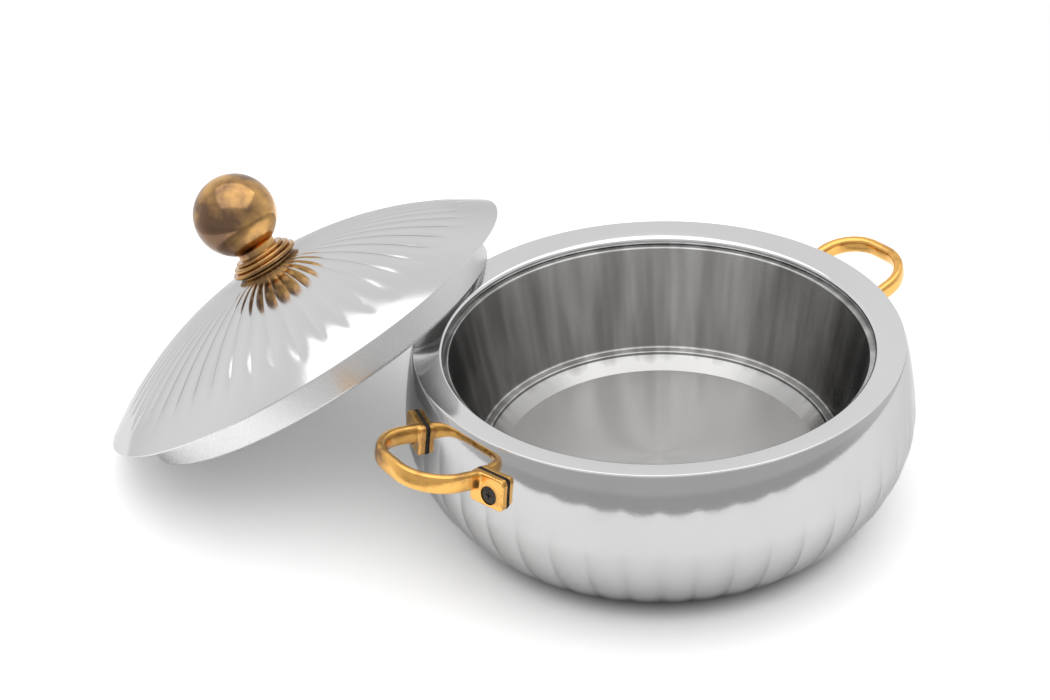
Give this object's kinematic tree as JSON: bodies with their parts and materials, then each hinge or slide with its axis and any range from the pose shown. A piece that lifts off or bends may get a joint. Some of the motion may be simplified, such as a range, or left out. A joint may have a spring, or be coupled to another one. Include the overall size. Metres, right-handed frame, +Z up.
{
  "type": "insulated chapati casserole",
  "caption": "Round double-walled serving pot with a fluted belly and loop handles, open, with its domed, ball-knobbed lid leaning on the rim.",
  "frame": {"origin": "centre of the pot's flat base, on the table", "axes": "+Z up; the two handles lie along +X and -X; the lid leans on the rim on the +Y, -X side"},
  "size_m": [0.3876, 0.4109, 0.1513],
  "materials": {
    "belly_steel": "polished, softly fluted",
    "rim_steel": "mirror polished",
    "liner_steel": "mirror polished",
    "base_steel": "plain mill finish",
    "lid_steel": "polished, fluted",
    "pan_steel": "fine satin",
    "handle_brass": "polished, slightly aged",
    "knob_brass": "antique, brown patina",
    "pad_rubber": "matt black",
    "dark_screw": "blackened",
    "zinc_steel": "plated",
    "foam": "rigid foam"
  },
  "bodies": {
    "pot": {"outer_shell": "belly_steel", "rim_ring": "rim_steel", "inner_liner": "liner_steel", "base_plate": "base_steel", "handle_right": "handle_brass", "handle_left": "handle_brass", "pads_right": "pad_rubber", "pads_left": "pad_rubber", "screws_right": "dark_screw", "screws_left": "dark_screw", "nuts_right": "zinc_steel", "nuts_left": "zinc_steel", "pot_insulation": "foam"},
    "lid": {"lid_dome": "lid_steel", "lid_pan": "pan_steel", "lid_insulation": "foam", "knob_collar": "knob_brass", "knob_ball": "knob_brass", "knob_stud": "zinc_steel", "knob_washer": "zinc_steel", "knob_nut": "zinc_steel"}
  },
  "joints": [
    {"name": "lid_lift", "type": "slide", "parent": "pot", "child": "lid", "axis": [0, 0, 1], "range_m": [0, 0.15]}
  ]
}
